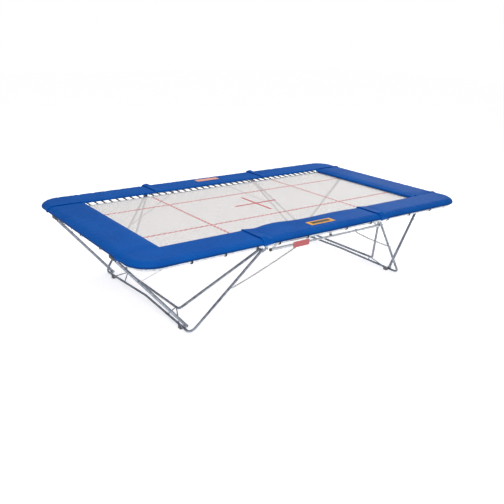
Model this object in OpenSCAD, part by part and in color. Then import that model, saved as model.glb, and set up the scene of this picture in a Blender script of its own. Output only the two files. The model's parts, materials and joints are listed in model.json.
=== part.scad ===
// Folding competition trampoline: three hinged frame sections, a sprung woven bed under padded covers,
// two leg sets that fold under the centre section, and four struts that fold against the end sections.
// The origin is on the floor under the middle of the bed. +X runs along the bed, +Y across it, +Z up.

/* [Frame] */
// Distance between the centre lines of the two end rails
frame_length = 5040; // [4980:10:5080]
// Distance between the centre lines of the two side rails
frame_width = 2910; // [2880:10:2940]
// Height of the rails' centre line above the floor
rail_z = 1045; // [1040:1:1050]
// Width of the rails' oval section
rail_w = 40; // [36:1:40]
// Height of the rails' oval section
rail_h = 50; // [44:1:50]
// Bend radius of the frame's corners, at the rail's centre line
corner_r = 240; // [200:5:260]

/* [Fold hinges] */
// Distance of each fold line from the middle of the bed
fold_x = 950; // [940:1:960]
// Height of the fold hinges' pins above the floor
fold_z = 1130; // [1130:1:1136]
// Radius of the hinge pins
pin_r = 6; // [5:0.5:7]
// Radial running clearance around every pin
pin_gap = 0.05; // [0.02:0.01:0.09]

/* [Bed and springs] */
// Length of the bed
bed_length = 4260; // [4200:10:4280]
// Width of the bed
bed_width = 2130; // [2100:10:2140]
// Height of the bed's upper face above the floor
bed_z = 1060; // [1056:1:1062]
// Thickness of the bed's web
bed_t = 5; // [3:0.5:6]
// Springs along each long side
side_springs = 40; // [36:2:40]
// Springs along each end
end_springs = 19; // [15:2:19]
// Outer radius of a spring's coil
coil_r = 8.5; // [6:0.5:9]

/* [Pads] */
// Height of the pads' upper face above the floor
pad_top = 1123; // [1118:1:1124]
// Thickness of the pads' foam
pad_t = 41; // [36:1:41]
// How far the pads' outer edge hangs below their foam
pad_lip = 27; // [15:1:30]
// How far the pads stand out past the rails' centre line
pad_overhang = 50; // [46:1:54]

/* [Legs] */
// Lean of the leg frames from the vertical, in degrees
leg_lean = 39.7; // [39:0.1:40]
// Length of the outer leg frame, along its lean
leg_length = 1256; // [1250:1:1258]
// Length of the inner leg frame, along its lean
inner_length = 1103; // [1060:1:1120]
// Half width of the outer leg frame at its base
foot_y = 1166; // [1150:1:1180]
// Half width of the inner leg frame at its base
inner_foot_y = 734; // [700:1:760]
// Rise of the outer base at its middle
base_arch = 50; // [30:1:60]
// Radius of the leg tubes
leg_r = 15.5; // [14:0.5:16]

/* [Struts] */
// Distance of the struts' pivots from the frame's centre line
strut_y = 870; // [860:1:880]
// Radius of the strut tubes
strut_r = 19; // [16:0.5:19]

/* [Hidden] */
$fn = 48;

end_x = frame_length / 2;
rail_y = frame_width / 2;
rail_bottom = rail_z - rail_h / 2;
outer_face_y = rail_y + rail_w / 2;
rail_gap = 10;                 // from the fold line to each rail's cut end

// Fold hinges
leaf_t = 8;
leaf_r = 12;
leaf_reach = 34;               // how far a leaf's root is from the fold line
leaf_root_z = rail_z + 15;
notch_w = 45;                  // half length of the pads' notch around a hinge
notch_y = 20;

// Leg hinges: the pin under the rail, and the point where the leg's line crosses its height
leg_pin_x = fold_x - 25;
leg_pin_z = rail_bottom - 25;
leg_top = [fold_x + 12, leg_pin_z + 2];
lug_r = 14;
tab_y = [rail_y - 6, rail_y + 2];
leg_top_y = rail_y - 12;
inner_top_y = rail_y - 50;
leg_bend = 110;
inner_bend = 90;
kink_bend = 150;

// Lower bars
bar_y = rail_y + 27;
bar_z = rail_z - 65;
bar_r = 13;
bar_half = 880;
sleeve_r = 17;                 // the bars' thicker end sleeves
left_sleeve = 560;
right_sleeve = 280;
middle_x = 40;                 // the bars' middle hanger
knob_r = 9;
plate_x = -443;                // middle of the marker plate
chain_x = 480;                 // where the leg chains hang from the bars

// Pads
pad_x = end_x + pad_overhang;
pad_y = rail_y + pad_overhang;
pad_corner = corner_r + pad_overhang;
pad_inner_x = bed_length / 2 - 70;
pad_inner_y = bed_width / 2;
lip_t = 20;
seam_gap = 3;

// Springs
spring_z = bed_z - 5;
side_pitch = bed_length / side_springs;
end_pitch = bed_width / end_springs;
spring_span = rail_y - rail_w / 2 - bed_width / 2;   // from the bed's edge to the rail's inner face
ring_r = 8;
wire_r = 2;
peg_r = 4;

// Struts: the pivot under the end rail and the foot over the leg's base
strut_pin = [end_x - 15, strut_y, rail_bottom - 36];
strut_foot = [fold_x + 780, strut_y + 150, 62];
strut_axis = (strut_pin - strut_foot) / norm(strut_pin - strut_foot);
saddle_bore = 26;
stay_hook = 371;               // from a strut's pivot to the hook of its stay

// ---------- shared shapes ----------

// Places a shape built for the +X end at the left (-X) or right (+X) end
module at_end(left) {
  if (left) mirror([1, 0, 0]) children();
  else children();
}

// Places a shape built for the far (+Y) side at the near (-Y) or far side
module at_side(near) {
  if (near) mirror([0, 1, 0]) children();
  else children();
}

module both_sides() {
  children();
  mirror([0, 1, 0]) children();
}

module both_ends() {
  children();
  mirror([1, 0, 0]) children();
}

// Turns local +Z onto the direction d
module aim(d) rotate([0, acos(d[2] / norm(d)), atan2(d[1], d[0])]) children();

// Round bar from p to q
module bar(p, q, r) translate(p) aim(q - p) cylinder(r = r, h = norm(q - p));

module flat_bar(p, q, r) bar([p[0], p[1], 0], [q[0], q[1], 0], r);

// Round bar along Y, with p at its middle
module cross_bar(p, r, length)
  translate([p[0], p[1] - length / 2, p[2]]) rotate([-90, 0, 0]) cylinder(r = r, h = length);

// Flat link outline between two points, with round ends a little wider than its straight part
module link_outline(p, q, r) {
  d = q - p;
  half = r - 0.3;
  translate(p) circle(r = r);
  translate(q) circle(r = r);
  translate(p) rotate(atan2(d[1], d[0])) translate([0, -half]) square([norm(d), 2 * half]);
}

// Plate whose outline is drawn in X and Z, standing from y0 to y1
module plate_xz(y0, y1)
  translate([0, y1, 0]) rotate([90, 0, 0]) linear_extrude(height = y1 - y0) children();

function heading(p, q) = atan2(q[1] - p[1], q[0] - p[0]);
function wrapped(a) = a > 180 ? a - 360 : a < -180 ? a + 360 : a;
function turn(pts, i) = wrapped(heading(pts[i], pts[i + 1]) - heading(pts[i - 1], pts[i]));
function setback(pts, bends, i) =
  i == 0 || i == len(pts) - 1 ? 0 : bends[i] * tan(abs(turn(pts, i)) / 2);

// Sweeps a section along flat points, with a bend radius at each inner point.
// The section's X lies in the plane of the path and its Y along Z.
// A collar radius adds a short sleeve over each joint between a straight and a bend.
module bent(pts, bends, collar = 0) {
  gap = collar > 0 ? 0.1 : 0;
  sleeve = 3;
  for (i = [0 : len(pts) - 2]) {
    h = heading(pts[i], pts[i + 1]);
    along = [cos(h), sin(h)];
    first = pts[i] + setback(pts, bends, i) * along;
    last = pts[i + 1] - setback(pts, bends, i + 1) * along;
    start = first + gap * along;
    translate([start[0], start[1], 0]) rotate([90, 0, h + 90])
      linear_extrude(height = norm(last - first) - 2 * gap) children();
    if (collar > 0 && i > 0) flat_bar(first - sleeve * along, first + sleeve * along, collar);
    if (collar > 0 && i < len(pts) - 2) flat_bar(last - sleeve * along, last + sleeve * along, collar);
  }
  for (i = [1 : len(pts) - 2]) {
    h = heading(pts[i - 1], pts[i]);
    t = turn(pts, i);
    side = t > 0 ? 1 : -1;
    start = pts[i] - setback(pts, bends, i) * [cos(h), sin(h)];
    centre = start + side * bends[i] * [-sin(h), cos(h)];
    translate([centre[0], centre[1], 0])
      rotate(h - side * 90 + min(t, 0))
        rotate_extrude(angle = abs(t)) translate([bends[i], 0]) children();
  }
}

// Oval section of the frame rails
module rail_section() {
  rise = rail_h - rail_w;
  for (s = [-1, 1]) translate([0, s * rise / 2]) circle(d = rail_w);
  square([rail_w, rise], center = true);
}

// Pin along Y with a round head at each end
module headed_pin(p, length) {
  head = 3;
  cross_bar(p, pin_r, length);
  for (s = [-1, 1]) cross_bar(p + [0, s * (length - head) / 2, 0], pin_r + 3, head);
}

module pin_hole(p) cross_bar(p, pin_r + pin_gap, 200);

// ---------- frame ----------

// Hinge leaf from the pin down into its rail: side -1 for the centre rail, 1 for the end rail
module fold_leaf(side) {
  y0 = side < 0 ? rail_y - leaf_t - 1 : rail_y + 1;
  difference() {
    plate_xz(y0, y0 + leaf_t)
      link_outline([fold_x, fold_z], [fold_x + side * leaf_reach, leaf_root_z], leaf_r);
    pin_hole([fold_x, rail_y, fold_z]);
  }
}

// Two ears under the rail that hold one leg's pin
module leg_ears() {
  ear_t = 6.5;
  difference() {
    for (y0 = [tab_y[0] - 1 - ear_t, tab_y[1] + 1])
      plate_xz(y0, y0 + ear_t) link_outline([leg_pin_x, leg_pin_z], [leg_pin_x, rail_z - 8], lug_r);
    pin_hole([leg_pin_x, rail_y, leg_pin_z]);
  }
}

module centre_rail(near) color("silver") at_side(near) {
  length = 2 * (fold_x - rail_gap);
  translate([-length / 2, rail_y, rail_z]) rotate([90, 0, 90])
    linear_extrude(height = length) rail_section();
  both_ends() {
    fold_leaf(-1);
    leg_ears();
  }
}

module end_rail(left) color("silver") at_end(left) {
  start = fold_x + rail_gap;
  translate([0, 0, rail_z])
    bent(
      [[start, rail_y], [end_x, rail_y], [end_x, -rail_y], [start, -rail_y]],
      [0, corner_r, corner_r, 0]
    ) rail_section();
  both_sides() fold_leaf(1);
}

module fold_hinge_pins() color("dimgray") both_sides() both_ends()
  headed_pin([fold_x, rail_y, fold_z], 2 * (leaf_t + 1) + 7);

module leg_hinge_pins() color("dimgray") both_sides() both_ends()
  headed_pin([leg_pin_x, rail_y - 2, leg_pin_z], 30);

// Lower bar under a centre rail, with a sleeve at each end, on two slanting hangers and a middle one
// that lie against the rail
module lower_bar(near) color("lightgray") at_side(near) {
  bar([-bar_half, bar_y, bar_z], [bar_half, bar_y, bar_z], bar_r);
  bar([-bar_half, bar_y, bar_z], [-bar_half + left_sleeve, bar_y, bar_z], sleeve_r);
  bar([bar_half - right_sleeve, bar_y, bar_z], [bar_half, bar_y, bar_z], sleeve_r);
  both_ends() plate_xz(outer_face_y, outer_face_y + 5)
    link_outline([bar_half - 100, rail_z], [bar_half - 15, bar_z + 3], 14);
  plate_xz(outer_face_y, outer_face_y + 5)
    link_outline([middle_x, rail_z], [middle_x, bar_z + 3], 20);
}

// Black caps on the bars' ends and a knob on each middle hanger
module bar_end_caps() color("black") both_sides() {
  both_ends() bar([bar_half, bar_y, bar_z], [bar_half + 16, bar_y, bar_z], sleeve_r + 2);
  translate([middle_x, outer_face_y + 5, bar_z + bar_r + knob_r + 1]) rotate([-90, 0, 0])
    cylinder(r = knob_r, h = 16);
}

// Plain red plate on the near lower bar
module bar_marker_plate() color("crimson")
  translate([plate_x, -bar_y - sleeve_r, bar_z + 5]) rotate([90, 0, 0]) linear_extrude(height = 4) {
    for (x = [-114, 114], y = [-26, 26]) translate([x, y]) circle(r = 10);
    square([248, 52], center = true);
    square([228, 72], center = true);
  }

// ---------- pads ----------

// Rounded outline of all the pads together, moved in by an inset
module pad_outline(inset) {
  r = pad_corner - inset;
  x = pad_x - pad_corner;
  y = pad_y - pad_corner;
  for (sx = [-1, 1], sy = [-1, 1]) translate([sx * x, sy * y]) circle(r = r);
  square([2 * (x + r), 2 * y], center = true);
  square([2 * x, 2 * (y + r)], center = true);
}

// One pad: the part of the outline inside a rectangle, with a lip that hangs outside the rail
module pad(corner, size) {
  translate([0, 0, pad_top - pad_t]) linear_extrude(height = pad_t) intersection() {
    pad_outline(0);
    translate(corner) square(size);
  }
  translate([0, 0, pad_top - pad_t - pad_lip]) linear_extrude(height = pad_lip + 1) intersection() {
    difference() {
      pad_outline(0);
      pad_outline(lip_t);
    }
    translate(corner) square(size);
  }
}

module hinge_notch()
  translate([fold_x - notch_w, rail_y - notch_y, 0]) cube([2 * notch_w, 2 * notch_y, 2000]);

module centre_pad(near) color("royalblue") at_side(near) difference() {
  pad([-fold_x + seam_gap, pad_inner_y], [2 * (fold_x - seam_gap), pad_y - pad_inner_y]);
  both_ends() hinge_notch();
}

module side_pad(left, near) color("royalblue") at_end(left) at_side(near) difference() {
  pad([fold_x + seam_gap, pad_inner_y], [pad_x - fold_x - seam_gap, pad_y - pad_inner_y]);
  hinge_notch();
}

module end_pad(left) color("royalblue") at_end(left)
  pad([pad_inner_x, -pad_inner_y + seam_gap], [pad_x - pad_inner_x, 2 * (pad_inner_y - seam_gap)]);

// Plain patches on the centre pads
module pad_label_patches() color("orange") both_sides()
  translate([20, (pad_inner_y + pad_y) / 2 + 25, pad_top + 0.5]) cube([390, 125, 1], center = true);

// Strap that hangs from a pad and passes under the rail, at a distance along a rail line on Y = line_y
module strap(along, line_y) {
  w = 18;
  t = 3;
  top = pad_top - pad_t - 4;
  foot = rail_bottom - 12;
  out = line_y + rail_w / 2 + 2;
  in = line_y - rail_w / 2 - 2 - t;
  translate([along - w / 2, out, foot]) cube([w, t, top - foot]);
  translate([along - w / 2, in, foot]) cube([w, out - in, t]);
  translate([along - w / 2, in, foot]) cube([w, t, 28]);
}

module centre_pad_straps() color("black") both_sides() both_ends()
  for (k = [3, 7]) strap(k * side_pitch, rail_y);

module pad_straps(left) color("black") at_end(left) {
  both_sides() for (k = [10, 14, 18]) strap(k * side_pitch, rail_y);
  for (y = [-560, 0, 560]) rotate(-90) strap(y, end_x);
}

// ---------- bed and springs ----------

module bed_centre() color("whitesmoke")
  translate([-fold_x + 4, -bed_width / 2, bed_z - bed_t]) cube([2 * fold_x - 8, bed_width, bed_t]);

module bed_end(left) color("whitesmoke") at_end(left)
  translate([fold_x + 2, -bed_width / 2, bed_z - bed_t])
    cube([bed_length / 2 - fold_x - 2, bed_width, bed_t]);

module ring(r, wire) rotate_extrude() translate([r, 0]) circle(r = wire);

// Flat eye with its axis along Z
module eye(r, wire) translate([0, 0, -wire]) linear_extrude(height = 2 * wire) difference() {
  circle(r = r + wire);
  circle(r = r - wire);
}

// One spring along +Y, from the bed's edge at y = 0 to its peg
module spring() {
  near_ring = ring_r + wire_r + 2;
  far_ring = spring_span - ring_r - wire_r;
  for (y = [near_ring, far_ring]) translate([0, y, 0]) eye(ring_r, wire_r);
  translate([0, near_ring + ring_r, 0]) rotate([-90, 0, 0])
    cylinder(r = wire_r - 0.4, h = far_ring - near_ring - 2 * ring_r);
  translate([0, near_ring + 26, 0]) rotate([-90, 0, 0])
    cylinder(r = coil_r, h = far_ring - near_ring - 52);
}

// Peg for one spring, on a shelf against the rail's inner face
module spring_peg() {
  far_ring = spring_span - ring_r - wire_r;
  translate([0, far_ring, rail_z - 5 - spring_z]) cylinder(r = peg_r, h = spring_z - rail_z + 16);
  translate([-peg_r, far_ring - peg_r, rail_z - 5 - spring_z])
    cube([2 * peg_r, spring_span - far_ring + peg_r, 4]);
}

// Copies a part that runs from the bed to the rail along a long side, for places first to last
module along_side(first, last) both_sides()
  for (i = [first : last]) translate([(i + 0.5) * side_pitch, bed_width / 2, spring_z]) children();

module along_end() for (i = [0 : end_springs - 1])
  translate([bed_length / 2, (i - (end_springs - 1) / 2) * end_pitch, spring_z]) rotate(-90) children();

centre_count = floor((fold_x - 10) / side_pitch - 0.5);

module centre_springs() color("gray")
  both_ends() along_side(0, centre_count) spring();

module centre_spring_pegs() color("silver") both_ends() along_side(0, centre_count) spring_peg();

module springs(left) color("gray") at_end(left) {
  along_side(centre_count + 1, side_springs / 2 - 1) spring();
  along_end() spring();
}

module spring_pegs(left) color("silver") at_end(left) {
  along_side(centre_count + 1, side_springs / 2 - 1) spring_peg();
  along_end() spring_peg();
}

// ---------- legs ----------

// Leg frame coordinates: X runs down the leg from the top of its line, Y across, Z out of its plane
module in_leg_plane() translate([leg_top[0], 0, leg_top[1]]) rotate([0, 90 - leg_lean, 0]) children();

function leg_point(s, y) = [leg_top[0] + s * sin(leg_lean), y, leg_top[1] - s * cos(leg_lean)];
function base_s(y) = leg_length - base_arch * (foot_y - abs(y)) / foot_y;
function outer_y(s) = leg_top_y - (leg_top_y - foot_y) * s / leg_length;

// The pin's place in leg frame coordinates
pin_dx = leg_pin_x - leg_top[0];
pin_dz = leg_pin_z - leg_top[1];
pin_s = pin_dx * sin(leg_lean) - pin_dz * cos(leg_lean);
pin_n = pin_dx * cos(leg_lean) + pin_dz * sin(leg_lean);
chain_s = 560;                 // how far down the leg its chain's eye sits
eye_reach = 36;
tab_s = 36;                    // how far down the leg its hinge tabs reach
tie_s = 28;                    // how far down the leg the two frames are tied together
rubber_foot_y = 935;

module leg_outer(left) color("silver") at_end(left) {
  in_leg_plane() {
    bent(
      [
        [0, leg_top_y], [leg_length, foot_y], [leg_length - base_arch, 0],
        [leg_length, -foot_y], [0, -leg_top_y]
      ],
      [0, leg_bend, kink_bend, leg_bend, 0], leg_r + 0.8
    ) circle(r = leg_r);
    both_sides() {
      difference() {
        plate_xz(tab_y[0], tab_y[1]) link_outline([pin_s, pin_n], [tab_s, 0], lug_r);
        translate([pin_s, 0, pin_n]) rotate([-90, 0, 0]) cylinder(r = pin_r + pin_gap, h = 2 * rail_y);
      }
      translate([chain_s, outer_y(chain_s) + eye_reach, 0]) ring(7, 2.5);
      bar([chain_s, outer_y(chain_s), 0], [chain_s, outer_y(chain_s) + eye_reach - 7, 0], 3.5);
    }
  }
}

module leg_inner(left) color("silver") at_end(left) in_leg_plane() {
  bent(
    [[10, inner_top_y], [inner_length, inner_foot_y], [inner_length, -inner_foot_y], [10, -inner_top_y]],
    [0, inner_bend, inner_bend, 0], leg_r + 0.8
  ) circle(r = leg_r);
  both_sides() {
    bar([tie_s, inner_top_y - 12, 0], [tie_s, leg_top_y, 0], leg_r - 3);
    corner = [inner_length - 4, inner_foot_y - 66, 0];
    for (y = [inner_foot_y - 134, inner_foot_y + 160]) bar(corner, [base_s(y), y, 0], 7);
  }
}

// Rubber feet that cup the outer base from below
module leg_feet(left) color("black") at_end(left) both_sides() {
  y = rubber_foot_y;
  p = leg_point(base_s(y), y);
  difference() {
    translate([p[0] - 22, y - 28, 0]) cube([44, 56, p[2] + 2]);
    bar(leg_point(base_s(y - 80), y - 80), leg_point(base_s(y + 80), y + 80), leg_r + 0.4);
  }
}

// Half-round cradles welded to the outer base, where the struts' feet rest
module strut_saddles(left) color("silver") at_end(left) both_sides()
  translate(strut_foot + 2 * strut_axis) aim(strut_axis) difference() {
    cylinder(r = saddle_bore + 4, h = 24);
    translate([0, 0, -1]) cylinder(r = saddle_bore, h = 26);
    translate([-60, -40, -1]) cube([60, 80, 26]);
  }

// Chain from under the lower bar to the eye on the outer leg tube, as a plain slim bar
module leg_chains(left) color("gray") at_end(left) both_sides() {
  top = [chain_x, bar_y, bar_z - sleeve_r - 6];
  eye = leg_point(chain_s, outer_y(chain_s) + eye_reach);
  bar(top, eye - 14 * (eye - top) / norm(eye - top), 4);
}

// ---------- struts ----------

// Black clamp under the end rail, with two ears for the strut's pin
module strut_clamps(left) color("black") at_end(left) both_sides() difference() {
  union() {
    translate([end_x - 30, strut_y - 60, rail_bottom - 14]) cube([60, 120, 31]);
    for (y = [strut_y - 35, strut_y + 25])
      plate_xz(y, y + 10)
        link_outline([strut_pin[0], strut_pin[2]], [strut_pin[0], rail_bottom - 8], 16);
  }
  translate([end_x, strut_y - 100, rail_z]) rotate([90, 0, 180]) linear_extrude(height = 200) {
    rise = rail_h - rail_w;
    for (s = [-1, 1]) translate([0, s * rise / 2]) circle(d = rail_w + 0.4);
    square([rail_w + 0.4, rise], center = true);
  }
  pin_hole(strut_pin);
}

module strut_pins(left) color("dimgray") at_end(left) both_sides() headed_pin(strut_pin, 77);

module strut(left, near) color("silver") at_end(left) at_side(near) difference() {
  union() {
    cross_bar(strut_pin, 15, 44);
    bar(strut_foot, strut_pin - 16 * strut_axis, strut_r);
    bar(strut_pin - 16 * strut_axis, strut_pin, 13);
  }
  pin_hole(strut_pin);
}

module strut_cap(left, near) color("black")
  at_end(left) at_side(near) translate(strut_foot) aim(-strut_axis) {
  cap_r = strut_r + 2;
  cylinder(r = cap_r, h = 10);
  intersection() {
    translate([0, 0, 1]) sphere(r = cap_r);
    translate([0, 0, 5]) cylinder(r = cap_r, h = 40);
  }
}

// Thin stays from the end section's side rails towards the struts
module strut_stays(left) color("gray") at_end(left) both_sides() {
  hook = strut_pin - stay_hook * strut_axis + [0, strut_r + 5, 0];
  bar(hook, [end_x - 250, rail_y - 5, rail_bottom - 5], 2.5);
}

centre_rail(true);  // centre_rail_near
centre_rail(false);  // centre_rail_far
fold_hinge_pins();
leg_hinge_pins();
lower_bar(true);  // lower_bar_near
lower_bar(false);  // lower_bar_far
bar_end_caps();
bar_marker_plate();
centre_pad(true);  // centre_pad_near
centre_pad(false);  // centre_pad_far
pad_label_patches();
centre_pad_straps();
centre_springs();
centre_spring_pegs();
leg_chains(true);  // leg_chains_left
leg_chains(false);  // leg_chains_right
bed_centre();
end_rail(true);  // end_rail_left
end_pad(true);  // end_pad_left
side_pad(true, true);  // side_pad_left_near
side_pad(true, false);  // side_pad_left_far
pad_straps(true);  // pad_straps_left
springs(true);  // springs_left
spring_pegs(true);  // spring_pegs_left
strut_clamps(true);  // strut_clamps_left
strut_pins(true);  // strut_pins_left
strut_stays(true);  // strut_stays_left
bed_end(true);  // bed_left
end_rail(false);  // end_rail_right
end_pad(false);  // end_pad_right
side_pad(false, true);  // side_pad_right_near
side_pad(false, false);  // side_pad_right_far
pad_straps(false);  // pad_straps_right
springs(false);  // springs_right
spring_pegs(false);  // spring_pegs_right
strut_clamps(false);  // strut_clamps_right
strut_pins(false);  // strut_pins_right
strut_stays(false);  // strut_stays_right
bed_end(false);  // bed_right
leg_outer(true);  // leg_outer_left
leg_inner(true);  // leg_inner_left
leg_feet(true);  // leg_feet_left
strut_saddles(true);  // strut_saddles_left
leg_outer(false);  // leg_outer_right
leg_inner(false);  // leg_inner_right
leg_feet(false);  // leg_feet_right
strut_saddles(false);  // strut_saddles_right
strut(true, true);  // strut_left_near
strut_cap(true, true);  // strut_cap_left_near
strut(true, false);  // strut_left_far
strut_cap(true, false);  // strut_cap_left_far
strut(false, true);  // strut_right_near
strut_cap(false, true);  // strut_cap_right_near
strut(false, false);  // strut_right_far
strut_cap(false, false);  // strut_cap_right_far
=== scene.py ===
import json
import math

import bmesh
import bpy
import numpy as np
from mathutils import Matrix, Vector, noise
from mathutils.bvhtree import BVHTree


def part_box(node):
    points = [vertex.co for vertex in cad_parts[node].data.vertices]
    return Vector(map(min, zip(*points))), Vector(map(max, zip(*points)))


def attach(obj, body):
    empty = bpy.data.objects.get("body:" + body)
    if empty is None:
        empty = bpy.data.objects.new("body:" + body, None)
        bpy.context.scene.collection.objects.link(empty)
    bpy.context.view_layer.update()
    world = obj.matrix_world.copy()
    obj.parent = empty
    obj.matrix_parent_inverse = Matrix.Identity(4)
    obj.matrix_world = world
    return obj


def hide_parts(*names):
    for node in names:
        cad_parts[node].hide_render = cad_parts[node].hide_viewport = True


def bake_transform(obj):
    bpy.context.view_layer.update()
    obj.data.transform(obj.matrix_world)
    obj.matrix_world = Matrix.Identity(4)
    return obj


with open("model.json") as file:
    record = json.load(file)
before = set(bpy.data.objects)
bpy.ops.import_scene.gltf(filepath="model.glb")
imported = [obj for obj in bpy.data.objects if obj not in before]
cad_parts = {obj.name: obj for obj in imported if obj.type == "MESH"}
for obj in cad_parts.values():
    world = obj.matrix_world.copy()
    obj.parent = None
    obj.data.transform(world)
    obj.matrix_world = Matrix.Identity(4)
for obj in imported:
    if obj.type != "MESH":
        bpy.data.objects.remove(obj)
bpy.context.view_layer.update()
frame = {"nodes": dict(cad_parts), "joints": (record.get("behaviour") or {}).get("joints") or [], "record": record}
scene = bpy.context.scene

ENDS = {"left": -1, "right": 1}
SIDES = {"near": -1, "far": 1}
CENTRE = "centre_frame"
UP = Vector((0, 0, 1))


# ---------- places, most read from the imported frame ---------

def low(node):
    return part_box(node)[0]


def high(node):
    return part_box(node)[1]


JOINTS = {j["name"]: j for j in frame["joints"]}
FOLD = Vector(JOINTS["end_right_fold"]["pos_m"])  # the fold line at the right
PAD_X = high("end_pad_right").x                   # outer edge of the pads
PAD_Y = high("centre_pad_far").y
PAD_TOP = high("centre_pad_far").z
SKIRT_FOOT = low("centre_pad_far").z
INNER_X = low("end_pad_right").x
INNER_Y = low("centre_pad_far").y
CENTRE_END = high("centre_pad_far").x
SIDE_START = low("side_pad_right_far").x
END_PAD_Y = high("end_pad_right").y
PAD_R = 0.29                                      # corner radius of the pads' outline
FOAM = 0.041
PAD_FOOT = PAD_TOP - FOAM
NOSE = PAD_TOP - 0.017                            # height of the pads' rounded inner edges
ROLL = 0.085                                      # how far in the outer edge starts to roll down
RIM = SKIRT_FOOT + 0.018                          # height at which the rolled edge meets the skirt
BED_X = high("bed_right").x
BED_Y = high("bed_right").y
BED_Z = high("bed_right").z
BED_MIDDLE = BED_Z - 0.0025                       # halfway through the bed's webbing
RAIL_HALF = 0.02                                  # half a rail's width
RAIL_Y = high("end_rail_right").y - RAIL_HALF     # middle lines of the rails
RAIL_X = high("end_rail_right").x - RAIL_HALF
RAIL_Z = 1.045
STRUT_Y = 0.870                                   # how far out the struts stand
LEG_PIN_X = 0.925
BAR_CAP_R = 0.019
BAR_Z = low("bar_end_caps").z + BAR_CAP_R         # middle height of the lower bars


# ---------- mesh building ----------

def around(count):
    """Angles of evenly spaced places round a circle."""
    return (math.tau * k / count for k in range(count))


def into_scene(name, data):
    obj = bpy.data.objects.new(name, data)
    scene.collection.objects.link(obj)
    return obj


def make(name, verts, faces, smooth=True):
    mesh = bpy.data.meshes.new(name)
    mesh.from_pydata([tuple(v) for v in verts], [], [tuple(f) for f in faces])
    bm = bmesh.new()
    bm.from_mesh(mesh)
    bmesh.ops.remove_doubles(bm, verts=bm.verts, dist=2e-5)
    bmesh.ops.dissolve_degenerate(bm, dist=1e-6, edges=bm.edges)
    bmesh.ops.recalc_face_normals(bm, faces=bm.faces)
    bm.to_mesh(mesh)
    bm.free()
    mesh.polygons.foreach_set("use_smooth", [smooth] * len(mesh.polygons))
    return into_scene(name, mesh)


def paint(obj, material):
    obj.data.materials.clear()
    obj.data.materials.append(material)
    return obj


def ride(obj, body):
    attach(obj, body)
    return obj


class Shape:
    """Collects simple solids into one mesh."""

    def __init__(self):
        self.verts, self.faces = [], []

    def add(self, verts, faces):
        base = len(self.verts)
        self.verts += [Vector(v) for v in verts]
        self.faces += [[i + base for i in f] for f in faces]

    def loft(self, rings, closed=False):
        n = len(rings[0])
        verts = [p for ring in rings for p in ring]
        faces = []
        for i in range(len(rings) if closed else len(rings) - 1):
            a, b = i * n, ((i + 1) % len(rings)) * n
            faces += [[a + j, a + (j + 1) % n, b + (j + 1) % n, b + j] for j in range(n)]
        if not closed:
            faces += [list(range(n))[::-1], [(len(rings) - 1) * n + j for j in range(n)]]
        self.add(verts, faces)

    def tube(self, path, radius, sides=8, closed=False):
        """Round wire along a path."""
        path = [Vector(p) for p in path]
        count = len(path)
        rings, side = [], None
        for i, p in enumerate(path):
            if closed:
                d = path[(i + 1) % count] - path[i - 1]
            else:
                d = path[min(i + 1, count - 1)] - path[max(i - 1, 0)]
            d.normalize()
            if side is None:
                start = UP if abs(d.z) < 0.9 else Vector((1, 0, 0))
                side = d.cross(start).normalized()
            side = (side - d * side.dot(d)).normalized()
            other = d.cross(side)
            rings.append([
                p + side * radius * math.cos(a) + other * radius * math.sin(a)
                for a in around(sides)
            ])
        self.loft(rings, closed)

    def turned(self, base, axis, profile, sides):
        """Solid of revolution: profile holds (distance along the axis, radius)."""
        axis = Vector(axis).normalized()
        side = axis.cross(UP if abs(axis.z) < 0.9 else Vector((1, 0, 0))).normalized()
        other = axis.cross(side)
        rings = [[
            Vector(base) + axis * h + side * r * math.cos(a) + other * r * math.sin(a)
            for a in around(sides)
        ] for h, r in profile]
        self.loft(rings)

    def hexagon(self, base, axis, radius, height):
        profile = [(0, 0.9), (0.12, 1), (0.85, 1), (1, 0.88)]
        self.turned(base, axis, [(height * h, radius * r) for h, r in profile], 6)

    def band(self, path, across, half_width, half_thick):
        """Flat band along a path; across is the direction of its width."""
        path = [Vector(p) for p in path]
        across = Vector(across).normalized()
        rings = []
        for i, p in enumerate(path):
            d = (path[min(i + 1, len(path) - 1)] - path[max(i - 1, 0)]).normalized()
            out = d.cross(across).normalized()
            w, t = across * half_width, out * half_thick
            rings.append([p - w - t * 0.4, p - w * 0.94 - t, p + w * 0.94 - t, p + w - t * 0.4,
                          p + w + t * 0.4, p + w * 0.94 + t, p - w * 0.94 + t, p - w + t * 0.4])
        self.loft(rings)

    def done(self, name, material, slot, smooth=True):
        return paint(make(name, self.verts, self.faces, smooth), material)

    def on(self, body, name, material, slot, smooth=True):
        return ride(self.done(name, material, slot, smooth), body)


# ---------- materials ----------

def put(tree, socket, value):
    if isinstance(value, bpy.types.NodeSocket):
        tree.links.new(value, socket)
    elif isinstance(value, (tuple, list)) and len(value) == 3 and socket.type == "RGBA":
        socket.default_value = (*value, 1)
    else:
        socket.default_value = value


def add(tree, kind, values=None, **props):
    n = tree.nodes.new("ShaderNode" + kind)
    for k, v in props.items():
        setattr(n, k, v)
    for k, v in (values or {}).items():
        put(tree, n.inputs[k], v)
    return n


def calc(tree, op, a, b=0.0):
    n = add(tree, "Math", operation=op)
    put(tree, n.inputs[0], a)
    put(tree, n.inputs[1], b)
    return n.outputs[0]


def times(tree, a, b):
    return calc(tree, "MULTIPLY", a, b)


def blend_colour(tree, factor, a, b):
    n = add(tree, "Mix", data_type="RGBA")
    put(tree, n.inputs[0], factor)
    put(tree, n.inputs[6], a)
    put(tree, n.inputs[7], b)
    return n.outputs[2]


def ranged(tree, value, a, b, lo=0.0, hi=1.0):
    n = add(tree, "MapRange", {"Value": value, "From Min": a, "From Max": b, "To Min": lo, "To Max": hi})
    return n.outputs[0]


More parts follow.
